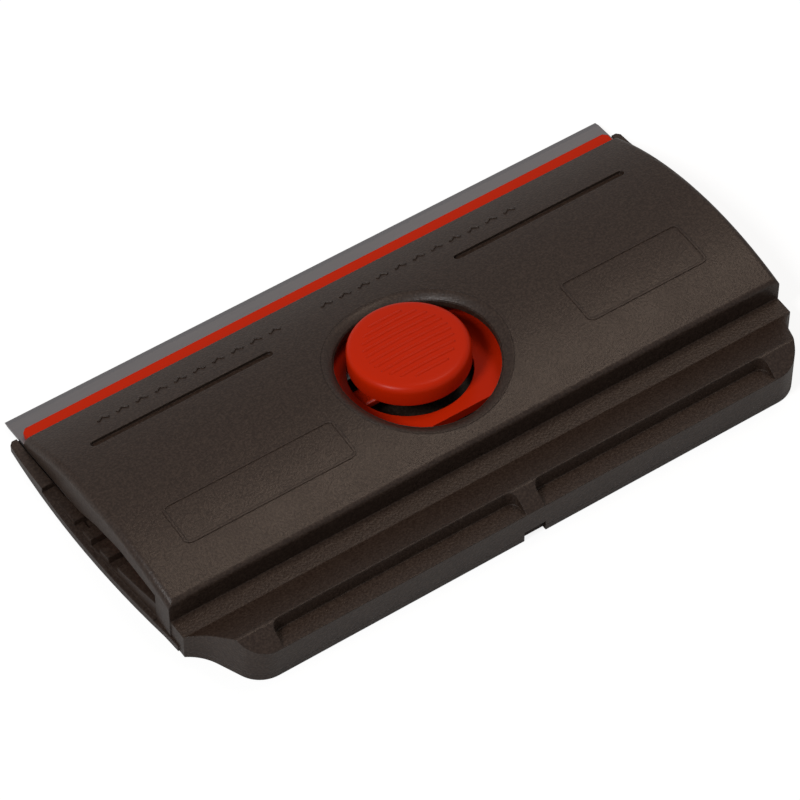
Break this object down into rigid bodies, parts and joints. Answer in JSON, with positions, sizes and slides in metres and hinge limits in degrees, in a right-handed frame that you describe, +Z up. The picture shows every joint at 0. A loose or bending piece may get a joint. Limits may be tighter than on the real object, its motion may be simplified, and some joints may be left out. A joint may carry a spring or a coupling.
{
  "type": "ceramic hob scraper",
  "caption": "Flat moulded hob scraper with an arched two-part shell and a thumb button that slides its wide blade in and out.",
  "frame": {"origin": "on the flat underside, under the middle of the button's hole, midway along the blade", "axes": "+X along the blade, +Y forwards towards the blade's edge, +Z up out of the arched top"},
  "size_m": [0.1042, 0.0561, 0.0107],
  "materials": {
    "black_plastic": "fine-textured moulded plastic, warm black",
    "red_plastic": "smooth moulded plastic, orange-red, slightly glossy",
    "blade_steel": "satin rolled blade steel with a ground edge",
    "plated_steel": "zinc-plated steel"
  },
  "bodies": {
    "housing": {"upper_housing": "black_plastic", "lower_housing": "black_plastic", "housing_screws": "plated_steel"},
    "carrier": {"blade_carrier": "red_plastic", "blade": "blade_steel", "blade_keeper": "plated_steel", "keeper_screws": "plated_steel", "lock_bar": "red_plastic"},
    "button": {"thumb_button": "red_plastic", "button_screw": "plated_steel"}
  },
  "joints": [
    {"name": "carrier_slide", "type": "slide", "parent": "housing", "child": "carrier", "axis": [0, 0.9945, -0.1045], "range_m": [-0.0042, 0]},
    {"name": "button_press", "type": "slide", "parent": "carrier", "child": "button", "axis": [0, -0.1045, -0.9945], "range_m": [0, 0.0012], "stiffness_N_per_m": 400, "springref_m": -0.0015, "deforming": ["lock_bar"]}
  ]
}
